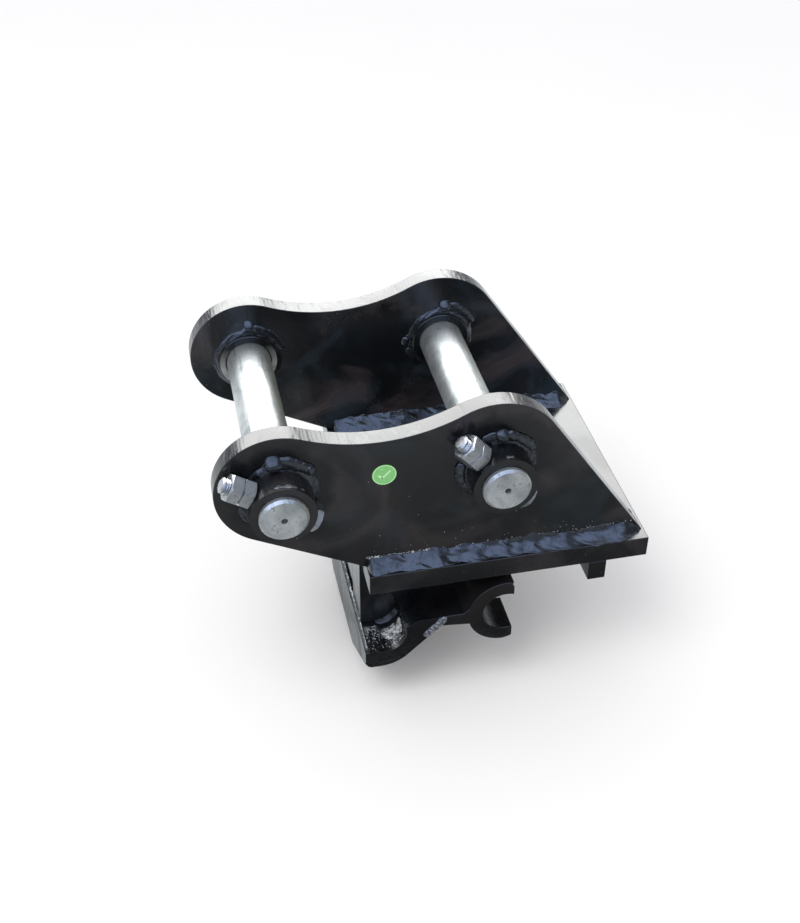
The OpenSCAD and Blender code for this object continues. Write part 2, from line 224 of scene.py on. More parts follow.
def weld_paint(name, tint, rough=0.2, bright=0.0, ior=1.8):
    """Painted weld metal: pitted, with dull patches. bright is the share of bare metal showing."""
    s = Shader(name)
    patch = s.ramp(s.noise(110, 4, 0.8), 0.46, 0.66)
    pit = s.ramp(s.noise(700, 2), 0.3, 0.38)
    base = s.mix(patch, tint, times(tint, 0.4))
    if bright:
        bare = s.ramp(s.noise(420, 3, 0.5, shift=6), 0.42, 0.6)
        base = s.mix(s.math("MULTIPLY", bare, bright), base, (0.62, 0.64, 0.66))
    s.set(Base_Color=base, Roughness=s.ramp(patch, 0, 1, rough, rough + 0.22), IOR=ior)
    # bluish tint on the reflections: a painted reflection colour, on top of the cool sky's own blue
    s.set(Specular_Tint=(0.78, 0.88, 1.0, 1.0))
    fine = s.bump(pit, 0.00015, 0.6)
    return s.set(Normal=s.bump(s.noise(330, 3, 0.6), 0.00022, 0.55, fine)).mat


def zinc(name, light, dark, rough=0.3, grain=(1, 1, 1), ends=None, side=None, metal=1.0):
    """Zinc-plated steel with soft streaks along the grain, dull clouds and dark specks.
    ends is the axis whose end faces are duller, and side the colour of faces towards +X: painted shade,
    darker, with a yellow weathered tint in it."""
    s = Shader(name)
    cloud = s.ramp(s.noise(60, 5, 0.8), 0.35, 0.68)
    streak = s.noise(760, 2, stretch=grain)
    scratch = s.ramp(s.noise(240, 4, 1.8, grain, 9), 0.6, 0.68)
    speck = s.ramp(s.noise(430, 2, shift=3), 0.66, 0.72)
    base = s.mix(cloud, light, dark)
    if side is not None:
        # painted shade with a yellow tint: faces towards +X get the side colour in streaks
        away = s.ramp(s.split(s.normal)[0], 0.35, 0.95)
        side_shade_and_tint = s.math("MULTIPLY", away, s.ramp(streak, 0.3, 0.7, 0.35, 1.0))
        base = s.mix(side_shade_and_tint, base, side)
    base = s.mix(s.math("MULTIPLY", scratch, 0.45), base, times(dark, 0.3))
    base = s.mix(s.math("MULTIPLY", speck, 0.5), base, times(dark, 0.22))
    gloss = s.math("ADD", s.math("MULTIPLY", cloud, 0.1), rough)
    if ends is not None:
        end = s.ramp(s.facing(ends), 0.8, 0.95)
        gloss = s.math("ADD", gloss, s.math("MULTIPLY", end, 0.12))
    s.set(Base_Color=base, Metallic=metal, Roughness=gloss)
    lines = s.bump(streak, 0.0001, 0.8)
    return s.set(Normal=s.bump(s.noise(150, 5, 0.8), 0.0004, 0.7, lines)).mat


def film(name, color):
    """Printed plastic film with a faint mottle."""
    s = Shader(name)
    return s.set(Base_Color=s.mix(s.noise(300, 2), color, times(color, 1.25)), Roughness=0.45).mat


BLACK = paint("black_paint")
BLACK_CUT = paint("black_paint_cut_edges", cut_edges=True, haze=1.25, fresh=(link_at, arm_at))
# a lighter copy for the far ear: its strong grey haze is partly painted light on its inner face
BLACK_HAZED_PAINTED_LIGHT = paint("black_paint_hazed_painted_light", cut_edges=True, haze=2.6)
# the far link boss: the lower part of its end faces carries a painted reflection
BLACK_RIMS_PAINTED_REFLECTION = paint("black_paint_rims_painted_reflection", rims=link_at.z)
BLACK_CAST = paint("black_paint_rough", rough=0.27, cast=0.5, haze=0.4)
WELD = weld_paint("weld_paint", (0.009, 0.0095, 0.011))
WELD_RAW = weld_paint("weld_spatter", (0.08, 0.085, 0.09), 0.26, 0.9)
WELD_THIN = weld_paint("weld_thin_paint", (0.03, 0.032, 0.036), 0.2, 0.22, 2.2)
WELD_RUN = weld_paint("paint_run", (0.012, 0.014, 0.016), 0.26, 0.1, 1.5)
# the side colour is painted shade on the pins' +X side, with a yellow tint
PIN = zinc("pin_zinc", (0.58, 0.605, 0.61), (0.32, 0.35, 0.36), 0.36, (1, 0.07, 1),
           ends=1, side=(0.4, 0.41, 0.32), metal=0.8)
BOLT = zinc("bolt_zinc", (0.55, 0.57, 0.59), (0.34, 0.355, 0.37), 0.36)
STEEL = zinc("bright_steel", (0.56, 0.55, 0.53), (0.4, 0.39, 0.37), 0.3, (0.08, 1, 1))
GREEN = film("sticker_green", (0.17, 0.44, 0.15))
PRINT = film("sticker_print", (0.36, 0.66, 0.32))


# ---- Mesh tools ----

def add_mesh(name, verts, faces, material, smooth=True, sharp=None):
    """sharp is the angle in degrees from which an edge isn't shaded smooth."""
    mesh = bpy.data.meshes.new(name)
    mesh.from_pydata([tuple(v) for v in verts], [], faces)
    mesh.validate()
    mesh.update()
    mesh.polygons.foreach_set("use_smooth", [smooth] * len(mesh.polygons))
    if sharp:
        mesh.set_sharp_from_angle(angle=math.radians(sharp))
    mesh.materials.append(material)
    obj = bpy.data.objects.new(name, mesh)
    bpy.context.scene.collection.objects.link(obj)
    return obj


class Pieces:
    """Collects closed shapes for one mesh."""

    def __init__(self):
        self.verts, self.faces = [], []

    def add(self, verts, faces):
        n = len(self.verts)
        self.verts += verts
        self.faces += [tuple(i + n for i in f) for f in faces]


def loft(rings, closed=False):
    """Skins a list of rings of points. The ends are capped unless the rings run round a loop."""
    n = len(rings[0])
    verts = [p for ring in rings for p in ring]
    faces = []
    count = len(rings) if closed else len(rings) - 1
    for i in range(count):
        a, b = i * n, (i + 1) % len(rings) * n
        faces += [(a + j, a + (j + 1) % n, b + (j + 1) % n, b + j) for j in range(n)]
    if not closed:
        faces.append(tuple(range(n))[::-1])
        last = (len(rings) - 1) * n
        faces.append(tuple(last + j for j in range(n)))
    return verts, faces


def lathe(profile, matrix, steps, shape=None):
    """Rings from (radius, height) pairs turned about local Z.
    shape(angle, radius, height) may return other values for each point."""
    rings = []
    for r, h in profile:
        ring = []
        for i in range(steps):
            a = 2 * math.pi * i / steps
            rr, hh = shape(a, r, h) if shape else (r, h)
            ring.append(matrix @ Vector((rr * math.cos(a), rr * math.sin(a), hh)))
        rings.append(ring)
    return rings


def crease(v, width):
    """1 along the zero line of a noise field, 0 away from it."""
    return max(0.0, 1 - abs(noise.noise(v)) / width)


def swell(root):
    """A bead's face usually stands out by this share of its leg."""
    return 0.06


def bead(stations, lump=0.0004, size=0.006, groove=0.0003, rows=12, seed=0.0, closed=False, bulge=swell):
    """Hand-laid fillet bead: long lumps, thin curved overlaps between them and a wavering edge.
    A station is (root of the corner, direction a, direction b, leg a, leg b). lump is the height and
    size the length of a lump, groove the depth of an overlap, and bulge(root) the face's swell."""
    rings = []
    sink = 0.0002  # how far the bead goes into the plates
    full = max(min(la, lb) for _, _, _, la, lb in stations)
    for root, a, b, la, lb in stations:
        out = (a + b).normalized()
        leg = min(la, lb)
        ease = min(1.0, leg / (full * 0.75)) ** 1.5
        ring = [root - (a + b) * sink]
        for j in range(rows + 1):
            u = j / rows
            hump = 4 * u * (1 - u)
            p = root + a * (la * (1 - u)) + b * (lb * u) + out * (bulge(root) * leg * hump)
            at = root / size + Vector((u * 1.6, u * 1.1, seed + u))
            soft = noise.noise(at) + 0.45 * noise.noise(at * 2.3)
            line = crease(root / (size * 1.6) + Vector((u * 1.2 + seed, u * u, u * 0.7)), 0.12)
            rise = lump * soft - groove * line
            p = p + out * (rise * (0.15 + 0.85 * hump ** 0.5) * ease)
            waver = noise.noise(root / (size * 0.55) + Vector((9, 3, u + seed))) * lump * 1.4
            waver += noise.noise(root / (size * 0.16) + Vector((2, 7, u + seed))) * lump * 0.35
            toe = 1 - hump
            p = p + (a * (1 - u) - b * u) * (waver * toe * ease) - (b * (1 - u) + a * u) * (sink * toe)
            ring.append(p)
        rings.append(ring)
    return loft(rings, closed)


def end_round(s, length, reach):
    """1 along a bead, falling to 0 in a quarter ellipse at each end. reach is one length or a pair."""
    first, last = reach if isinstance(reach, tuple) else (reach, reach)
    k = max(0.0, 1 - s / first, 1 - (length - s) / last)
    return math.sqrt(max(0.0, 1 - k * k)) * 0.999 + 0.001


def bead_path(points, a_of, b_of, la, lb, reach=0.004, wander=0.08, seed=0.0):
    """Stations along a path; a_of and b_of give the two face directions at a point's index."""
    total = [0.0]
    for p, q in zip(points, points[1:]):
        total.append(total[-1] + (q - p).length)
    made = []
    for i, p in enumerate(points):
        k = end_round(total[i], total[-1], reach)
        w = 1 + wander * noise.noise(Vector((total[i] / 0.013, seed, 0.3)))
        w2 = 1 + wander * noise.noise(Vector((total[i] / 0.010, seed + 5, 0.7)))
        made.append((p, a_of(i), b_of(i), la * k * w, lb * k * w2))
    return made


def straight_bead(start, end, a, b, la, lb, **more):
    """Stations every 0.4 mm along a line."""
    n = int((end - start).length / 0.0004)
    points = [start.lerp(end, i / n) for i in range(n + 1)]
    return bead_path(points, lambda i: a, lambda i: b, la, lb, **more)


def ball(at, r, squash=0.7):
    """A small ball of a few faces, cheap enough to strew by the hundred."""
    steps = 6
    rings = []
    for i in range(1, 4):
        t = math.pi * i / 4
        rings.append([
            at + Vector((math.cos(a) * math.sin(t), math.sin(a) * math.sin(t), math.cos(t) * squash)) * r
            for a in (2 * math.pi * k / steps for k in range(steps))])
    return loft(rings)


def mound(at, up, along, length, width, height, seed):
    """Flat lump of paint or weld metal on a face: up is away from the face, along is its long way."""
    n = 18
    across = up.cross(along)
    rings = []
    for i in range(n + 1):
        s = -1 + 2 * i / n
        k = math.sqrt(max(0.0, 1 - abs(s) ** 2.6)) + 0.001
        ring = []
        for j in range(n):
            t = 2 * math.pi * j / n
            c, h = math.cos(t), math.sin(t)
            p = along * (s * length / 2) + across * (c * width / 2 * k) + up * (max(h, -0.25) * height * k)
            rough = 1 + 0.22 * noise.noise((at + p) / 0.0034 + Vector((seed, 0, 0)))
            rough += 0.07 * noise.noise((at + p) / 0.0012 + Vector((seed, 3, 0)))
            ring.append(at + along * p.dot(along) * (0.7 + 0.3 * rough) + across * p.dot(across) * rough
                        + up * p.dot(up) * (rough if h > 0 else 1))
        rings.append(ring)
    return loft(rings)


def place(obj, body, slot, *stands_for):
    """Lets a piece ride on its body, in place of the CAD nodes that it stands for."""
    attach(obj, body)
    if stands_for:
        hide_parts(*stands_for)
    return obj


# ---- CAD nodes: finishes and small bevels ----

def finish_node(name, material, bevel):
    """Gives a CAD node its material and, by modifiers, small rounded edges."""
    obj = nodes[name]
    obj.data.materials.clear()
    obj.data.materials.append(material)
    obj.data.polygons.foreach_set("use_smooth", [True] * len(obj.data.polygons))
    weld = obj.modifiers.new("weld", "WELD")
    weld.merge_threshold = 0.000004
    # the flat faces come as triangles; the bevel needs them whole
    flat = obj.modifiers.new("flat", "DECIMATE")
    flat.decimate_type = "DISSOLVE"
    flat.angle_limit = math.radians(0.4)
    if bevel:
        b = obj.modifiers.new("bevel", "BEVEL")
        b.width = bevel
        b.segments = 2 if bevel < 0.001 else 4
        b.limit_method = "ANGLE"
        b.angle_limit = math.radians(35)
        b.use_clamp_overlap = True
    even = obj.modifiers.new("even", "WEIGHTED_NORMAL")
    even.weight = 100


# each node's material and the width of its rounded edges
FINISHES = {
    "near_ear": (BLACK_CUT, 0.0006), "far_ear": (BLACK_HAZED_PAINTED_LIGHT, 0.0006),
    "link_boss_near": (BLACK, 0.0013), "arm_boss_near": (BLACK, 0.0013),
    "link_boss_far": (BLACK_RIMS_PAINTED_REFLECTION, 0.0013), "arm_boss_far": (BLACK, 0.0013),
    "link_pin": (PIN, 0.0003), "arm_pin": (PIN, 0.0003),
    "base_plate": (BLACK, 0.0007), "stop_bar": (BLACK, 0.0006),
    "near_cheek": (BLACK, 0.0006), "far_cheek": (BLACK, 0.0006),
    "nose": (BLACK_CAST, 0.0021), "near_jaw": (BLACK_CAST, 0.0012), "far_jaw": (BLACK_CAST, 0.0012),
    "guide_block": (BLACK, 0.0006), "bearing_block": (BLACK, 0.0006),
    "near_lock_bolt": (STEEL, 0.0003), "far_lock_bolt": (STEEL, 0.0003),
    "crosshead": (STEEL, 0.0006), "crosshead_pins": (STEEL, 0.0),
    "spindle_washer": (BOLT, 0.0002), "spindle_collar": (STEEL, 0.0004), "collar_pin": (STEEL, 0.0),
}
for node_name, (finish, width) in FINISHES.items():
    finish_node(node_name, finish, width)


# ---- Weld beads ----

# degrees by which each pin's cross bolt leans from upright; minus is towards the rear
LINK_LEAN = -58
ARM_LEAN = -42
# the nose's round hollows, one beside each cheek
NOSE_TOP = cheek_lo.z
HOLLOW_R = 0.014
HOLLOW = Vector((nose_lo.x + HOLLOW_R, 0, NOSE_TOP + HOLLOW_R))


def hollow_out(root):
    """The long beads are flat at the back and more hollow towards the front."""
    front = min(1.0, max(0.0, (root.x + 0.005) / 0.04))
    return -0.05 - 0.13 * front + 0.05 * noise.noise(root / 0.016) + 0.22 * front * noise.noise(root / 0.009)


def ear_welds():
    """Two long beads on each ear. The inner one starts a little later."""
    made = Pieces()
    x0, x1 = base_lo.x + 0.0004, base_hi.x - 0.0034
    top = base_hi.z
    for i, side in enumerate((-1, 1)):
        for j, (y, out, start) in enumerate(((ear_out, 1, x0), (ear_in, -1, x0 + 0.004))):
            seed = i * 3.1 + j
            stations = straight_bead(
                Vector((start, side * y, top)), Vector((x1, side * y, top)),
                Y * side * out, Z, 0.0086, 0.0093, reach=(0.003, 0.0125), wander=0.26, seed=seed)
            made.add(*bead(stations, 0.0008, 0.0105, 0.00028, 16, seed=seed, bulge=hollow_out))
    beads = add_mesh("ear_weld_beads", made.verts, made.faces, WELD)
    place(beads, "frame", "weld_paint", "ear_welds")


def plateau(t, degrees, half, edge=9.0):
    """1 within half of an angle, falling smoothly to 0 over the edge."""
    d = abs((math.degrees(t) - degrees + 180) % 360 - 180)
    k = min(1.0, max(0.0, (half + edge - d) / edge))
    return k * k * (3 - 2 * k)


def ring(made, centre, y, out, reach, rise, dabs, gaps, seed):
    """Ring bead round a boss on the ear's face at y; out is the direction away from the ear.
    A dab is (angle, distance from the pin's axis, length round the boss, width, height): a lump
    where the welder went over the bead again. A gap is an angle where the bead is ground flat
    under a nut or a bolt head."""
    stations = []
    steps = 300
    degrees_per_metre = 900  # half of a dab's length, as an angle round the boss
    for i in range(steps):
        t = 2 * math.pi * i / steps
        radial = Vector((math.cos(t), 0, math.sin(t)))
        w = 1 + 0.16 * noise.noise(Vector((math.cos(t) * 2.1, math.sin(t) * 2.1, seed)))
        la, lb = reach * w, rise
        for angle, far, length, width, _ in dabs:
            wide = min(far + width * 0.3 - boss_r, reach * 1.5)
            la = max(la, wide * plateau(t, angle, length * degrees_per_metre, 14))
        for angle in gaps:
            lb -= (lb - 0.0003) * plateau(t, angle, 20, 8)
        root = Vector((centre.x, y, centre.z)) + radial * boss_r
        stations.append((root, radial, out, la, lb))
    made.add(*bead(stations, 0.0004, 0.006, 0.0001, 12, seed=seed, closed=True))
    for k, (angle, far, length, width, height) in enumerate(dabs):
        t = math.radians(angle)
        radial = Vector((math.cos(t), 0, math.sin(t)))
        tilt = 0.75 if k == 0 else 0.2
        up = (out + radial * tilt).normalized()
        at = Vector((centre.x, y, centre.z)) + radial * far + out * (rise * 0.35)
        made.add(*mound(at, up, radial.cross(out), length, width, height, seed + k))


# dabs round the bosses, on the ears' outer faces and on their inner faces
LINK_DABS = ((95, 0.0262, 0.0115, 0.0112, 0.003), (78, 0.0256, 0.013, 0.0084, 0.0016),
             (64, 0.0252, 0.013, 0.008, 0.0015), (50, 0.0254, 0.012, 0.0074, 0.0015),
             (42, 0.026, 0.0066, 0.0064, 0.002), (205, 0.0238, 0.013, 0.005, 0.001))
ARM_DABS = ((87, 0.0252, 0.009, 0.0086, 0.0027), (70, 0.0248, 0.013, 0.0074, 0.0015),
            (55, 0.0246, 0.012, 0.007, 0.0014), (40, 0.0248, 0.012, 0.0066, 0.0013),
            (33, 0.025, 0.006, 0.0062, 0.0016), (104, 0.0248, 0.012, 0.0064, 0.0009),
            (174, 0.024, 0.011, 0.007, 0.0018), (190, 0.024, 0.011, 0.0066, 0.0016),
            (206, 0.0236, 0.01, 0.0056, 0.0012))
LINK_DABS_IN = ((86, 0.0276, 0.0066, 0.0084, 0.0013), (66, 0.0244, 0.013, 0.006, 0.0009),
                (46, 0.0244, 0.013, 0.006, 0.0009), (26, 0.0242, 0.012, 0.005, 0.0008))
ARM_DABS_IN = ((83, 0.0268, 0.0085, 0.0086, 0.002), (66, 0.0262, 0.012, 0.0066, 0.0013),
               (50, 0.0258, 0.012, 0.0064, 0.0012), (34, 0.0252, 0.011, 0.0056, 0.0011),
               (180, 0.025, 0.0078, 0.0054, 0.0014), (206, 0.0236, 0.011, 0.004, 0.0008))


def boss_welds():
    """A ring bead round each boss on both faces of each ear, ground flat under the bolts and nuts."""
    made = Pieces()
    for i, (centre, lean, outer, inner) in enumerate((
            (link_at, LINK_LEAN, LINK_DABS, LINK_DABS_IN), (arm_at, ARM_LEAN, ARM_DABS, ARM_DABS_IN))):
        bolt_at = 90 - lean
        for j, side in enumerate((-1, 1)):
            gaps = (bolt_at, bolt_at - 180) if side < 0 else ()
            seed = i * 7.3 + j * 2.9
            ring(made, centre, side * ear_out, Y * side, 0.005, 0.0027, outer, gaps, seed)
            ring(made, centre, side * ear_in, Y * -side, 0.0034, 0.0018, inner, (), seed + 20)
    beads = add_mesh("boss_weld_beads", made.verts, made.faces, WELD)
    place(beads, "frame", "weld_paint", "boss_welds")


def cheek_welds():
    """A bead between each cheek and the base plate, and one along the nose's rear edge."""
    made = Pieces()
    for i, side in enumerate((-1, 1)):
        start = Vector((cheek_lo.x + 0.004, side * cheek_hi.y, base_lo.z))
        end = Vector((cheek_hi.x - 0.01275, side * cheek_hi.y, base_lo.z))
        under = straight_bead(start, end, Y * side, -Z, 0.006, 0.006, seed=40 + i)
        made.add(*bead(under, seed=40 + i))
    edge = Vector((cheek_lo.x, 0, NOSE_TOP))
    rear = straight_bead(edge - Y * (nose_hi.y - 0.0025), edge + Y * (nose_hi.y - 0.0025), -X, Z,
                         0.0016, 0.0019, reach=0.002, wander=0.3, seed=50)
    made.add(*bead(rear, 0.00025, 0.004, 0.0001, seed=50))
    beads = add_mesh("cheek_weld_beads", made.verts, made.faces, WELD)
    place(beads, "frame", "weld_paint", "cheek_welds")


def hollow_point(side, y, degrees, lift=0.0):
    """A point on the nose's round hollow, lifted off its surface."""
    t = math.radians(degrees)
    r = HOLLOW_R - lift
    return Vector((HOLLOW.x + r * math.cos(t), side * y, HOLLOW.z + r * math.sin(t)))


def hollow_welds():
    """A dark bead in the corner between each cheek and the round hollow, and a patch of bare splash."""
    corner, splash = Pieces(), Pieces()
    y = cheek_hi.y
    out_from_cheek, sway = 0.0115, 0.0035
    half_width, height = 0.0062, 0.0012
    steps, rows = 44, 20
    for i, side in enumerate((-1, 1)):
        points = [hollow_point(side, y, -100 + 1.5 * k) for k in range(56)]
        inward = [(Vector((HOLLOW.x, side * y, HOLLOW.z)) - p).normalized() for p in points]
        stations = bead_path(points, lambda k: Y * side, lambda k: inward[k], 0.0036, 0.0024,
                             reach=0.005, wander=0.3, seed=60 + i)
        corner.add(*bead(stations, 0.0003, 0.006, 0.0001, seed=60 + i))
        rings = []
        for n in range(steps + 1):
            s = n / steps
            degrees = -92 + 74 * s
            k = end_round(s, 1.0, 0.3)
            middle = y + out_from_cheek + sway * math.sin(math.pi * s)
            half = half_width * k * (1 + 0.5 * noise.noise(Vector((s * 5, side, 1))))
            ring_pts = []
            for j in range(rows + 1):
                u = 2 * j / rows - 1
                at = hollow_point(side, middle + half * u, degrees)
                rough = 0.55 + 0.5 * noise.noise(at / 0.0032) + 0.4 * noise.noise(at / 0.0012)
                lift = height * max(0.0, rough) * k * math.sqrt(max(0.0, 1 - u * u))
                ring_pts.append(hollow_point(side, middle + half * u, degrees, lift - 0.0001))
            ring_pts.append(hollow_point(side, middle, degrees, -0.0006))
            rings.append(ring_pts)
        splash.add(*loft(rings))
    place(add_mesh("hollow_weld_beads", corner.verts, corner.faces, BLACK_CAST), "frame", "weld_paint")
    place(add_mesh("hollow_splash", splash.verts, splash.faces, WELD_RAW), "frame", "weld_paint")


def jaw_welds():
    """Bead with clear ripples on the joint between each jaw's stem and the nose."""
    lo, hi = bounds_of("jaw_welds")
    half_width, ripple = 0.0029, 0.0026
    steps, rows = 90, 14
    made = Pieces()
    for side in (-1, 1):
        start = Vector((lo.x + 0.0006, side * jaw_hi.y, lo.z + 0.0012))
        end = Vector((hi.x - 0.0028, side * jaw_hi.y, hi.z - 0.0032))
        along = (end - start).normalized()
        across = Vector((-along.z, 0, along.x))
        length = (end - start).length
        rings = []
        for i in range(steps + 1):
            s = length * i / steps
            k = end_round(s, length, half_width)
            half = half_width * k * (1 + 0.12 * noise.noise(Vector((s / 0.003, side, 2))))
            ring_pts = []
            for j in range(rows + 1):
                u = 2 * j / rows - 1
                phase = s / ripple + 0.6 * u * u
                dome = math.sqrt(max(0.0, 1 - u * u))
                p = start + along * s + across * (half * u)
                h = dome * k * (0.0011 + 0.0006 * abs(math.sin(math.pi * phase)) ** 0.7
                                + 0.0003 * noise.noise(p / 0.0016))
                ring_pts.append(p + Y * side * (h - 0.0001))
            ring_pts.append(start + along * s - Y * side * 0.0006)
            rings.append(ring_pts)
        made.add(*loft(rings))
    beads = add_mesh("jaw_weld_beads", made.verts, made.faces, WELD_THIN)
    place(beads, "frame", "weld_paint", "jaw_welds")


def spatter():
    """Drops of weld metal: on the nose, in its hollow and along the upper edge of the long beads."""
    made = Pieces()
    for side in (-1, 1):
        for k in range(170):
            at = Vector((rnd.uniform(nose_lo.x + 0.003, HOLLOW.x - 0.001),
                         side * (cheek_hi.y + 0.004 + abs(rnd.gauss(0, 0.008))), NOSE_TOP))
            if abs(at.y) < nose_hi.y - 0.002:
                made.add(*ball(at, rnd.uniform(0.00016, 0.0005)))
        for k in range(230):
            degrees = rnd.gauss(-62, 22)
            if not -100 < degrees < -5:
                continue
            at = hollow_point(side, rnd.uniform(cheek_hi.y + 0.008, nose_hi.y - 0.003), degrees)
            made.add(*ball(at, rnd.uniform(0.00016, 0.0006), 1.0))
        for k in range(240):
            x = rnd.uniform(base_lo.x, 0.0) if k % 3 else rnd.uniform(base_lo.x, base_hi.x - 0.01)
            at = Vector((x, side * ear_out, base_hi.z + 0.0088 + rnd.gauss(0, 0.0005)))
            made.add(*ball(at, rnd.uniform(0.00015, 0.00042), 0.9))
        for k in range(30):
            at = Vector((rnd.uniform(base_lo.x, base_hi.x - 0.03), side * ear_out,
                         base_hi.z + 0.011 + abs(rnd.gauss(0, 0.006))))
            made.add(*ball(at, rnd.uniform(0.00012, 0.0003), 0.9))
    place(add_mesh("weld_spatter", made.verts, made.faces, WELD_RAW), "frame", "weld_paint")


def paint_runs():
    """Thick paint that gathered near the front edge of each boss."""
    made = Pieces()
    for centre, angle, length, width, seed in (
            (link_at, 94, 0.006, 0.0036, 1), (arm_at, 84, 0.005, 0.003, 2),
            (link_at, 80, 0.007, 0.0044, 3), (link_at, 68, 0.004, 0.0026, 4),
            (link_at, 52, 0.002, 0.0016, 5)):
        for side in (-1, 1):
            t = math.radians(angle)
            radial = Vector((math.cos(t), 0, math.sin(t)))
            at = centre + radial * (boss_r - 0.0001) + Y * side * (boss_hi.y - 0.0034)
            made.add(*mound(at, radial, radial.cross(Y), length, width, 0.0004, seed))
    place(add_mesh("paint_runs", made.verts, made.faces, WELD_RUN), "frame", "weld_paint")


ear_welds()
boss_welds()
cheek_welds()
hollow_welds()
jaw_welds()
spatter()
paint_runs()


# ---- Fasteners ----

ACROSS_FLATS = 0.016
NUT_H = 0.008
HEAD_H = 0.005
BOLT_R = 0.005
BOLT_PITCH = 0.0015
SPINDLE_PITCH = 0.003
# points round a hexagon or a thread
HEX_STEPS = 96
ROUND_STEPS = 48


def hex_radius(angle, af):
    """Corners on the local X axis, flats square to the local Y axis."""
    step = math.pi / 3
    a = (angle + step / 2) % step - step / 2
    return af / 2 / math.cos(abs(a) - step / 2)


def hex_rings(af, z0, z1, matrix, high=True, twist=0.0):
    """Rings of a hexagon from z0 to z1, with a 30 degree chamfer at z0 and, if high, at z1."""
    face = af / 2 * 0.93
    slope = math.tan(math.radians(30))

    def shape(angle, number, _):
        r = hex_radius(angle - twist, af)
        drop = (r - face) * slope
        return ((face, z0), (r, z0 + drop), (r, z1 - (drop if high else 0)), (face, z1))[number]

    # the profile only numbers the four rings; shape gives their radii and heights
    return lathe([(number, 0) for number in range(4)], matrix, HEX_STEPS, shape)


def nut(matrix, height):
    """A hexagon nut with a countersunk bore."""
    sunk = BOLT_R + 0.0005
    profile = [(sunk, height), (BOLT_R, height - 0.0006), (BOLT_R, 0.0006), (sunk, 0)]
    rings = hex_rings(ACROSS_FLATS, 0, height, matrix)
    return loft(rings + lathe(profile, matrix, HEX_STEPS), closed=True)


def thread_rings(r, pitch, depth, z0, z1, matrix, per_pitch):
    """Rings of a thread of outer radius r, whose grooves get shallow over the last pitch."""
    n = int((z1 - z0) / pitch * per_pitch)

    def shape(angle, _, h):
        p = (h / pitch - angle / (2 * math.pi)) % 1
        fade = max(0.25, min(1.0, (z1 - h) / pitch))
        return r - depth * (1 - abs(2 * p - 1)) * fade, h

    return lathe([(r, z0 + (z1 - z0) * i / n) for i in range(n + 1)], matrix, ROUND_STEPS, shape)


def pin_fasteners():
    """The bolt through each near boss, with its nut and lock nut."""
    for label, centre, lean in (("link", link_at, LINK_LEAN), ("arm", arm_at, ARM_LEAN)):
        bolt_lo, bolt_hi = bounds_of(label + "_pin_bolt")
        y = (bolt_lo.y + bolt_hi.y) / 2
        turn = Matrix.Translation((centre.x, y, centre.z)) @ Matrix.Rotation(math.radians(lean), 4, "Y")
        under = -boss_r - HEAD_H
        stub_end = boss_r + 2 * NUT_H + 0.004
        dish = ACROSS_FLATS * 0.33
        cap = lathe([(dish - 0.0004, under + 0.0003), (dish, under)], turn, HEX_STEPS)
        head = hex_rings(ACROSS_FLATS, under, -boss_r, turn, high=False, twist=math.radians(32))
        shank = lathe([(BOLT_R - 0.0001, -boss_r), (BOLT_R - 0.0001, boss_r + 0.002)], turn, ROUND_STEPS)
        threads = thread_rings(BOLT_R, BOLT_PITCH, 0.0008, boss_r + 0.003, stub_end - 0.0008, turn, 6)
        tip = lathe([(0.0041, stub_end - 0.0004), (0.0036, stub_end), (0.003, stub_end)], turn, ROUND_STEPS)
        bolt = Pieces()
        bolt.add(*loft(cap + head))
        bolt.add(*loft(shank + threads + tip))
        piece = add_mesh(label + "_bolt_made", bolt.verts, bolt.faces, BOLT, sharp=28)
        place(piece, "frame", "bolt_zinc", label + "_pin_bolt")
        for n, part in enumerate(("pin_nut", "pin_lock_nut")):
            seat = turn @ Matrix.Translation((0, 0, boss_r + n * NUT_H))
            verts, faces = nut(seat, NUT_H - 0.0001)
            piece = add_mesh(f"{label}_{part}_made", verts, faces, BOLT, sharp=28)
            place(piece, "frame", "bolt_zinc", f"{label}_{part}")


def spindle():
    """Turned spindle: hexagon, collar seat, thread where it runs through the crosshead, journal."""
    axis = Matrix.Translation((0, 0, lock_z)) @ Matrix.Rotation(math.pi / 2, 4, "Y")
    head_end = block_lo.x - 0.0015
    made = Pieces()
    centre_dip = lathe([(0.0012, spin_lo.x + 0.0003)], axis, HEX_STEPS)
    made.add(*loft(centre_dip + hex_rings(ACROSS_FLATS, spin_lo.x, head_end, axis, high=False)))
    r = 0.007
    start, stop = block_hi.x + 0.0062, bearing_lo.x - 0.00145
    body = lathe([(r, head_end - 0.001), (r, start - 0.001)], axis, ROUND_STEPS)
    body += thread_rings(r, SPINDLE_PITCH, 0.0013, start, stop, axis, 8)
    journal = [(0.005, stop + 0.0006), (0.005, spin_hi.x - 0.0006), (0.0045, spin_hi.x)]
    made.add(*loft(body + lathe(journal, axis, ROUND_STEPS)))
    piece = add_mesh("spindle_turned", made.verts, made.faces, STEEL, sharp=30)
    place(piece, "spindle", "bright_steel", "spindle")


pin_fasteners()
spindle()


# ---- Sticker: a plain green dot with a thin rim and a tick ----

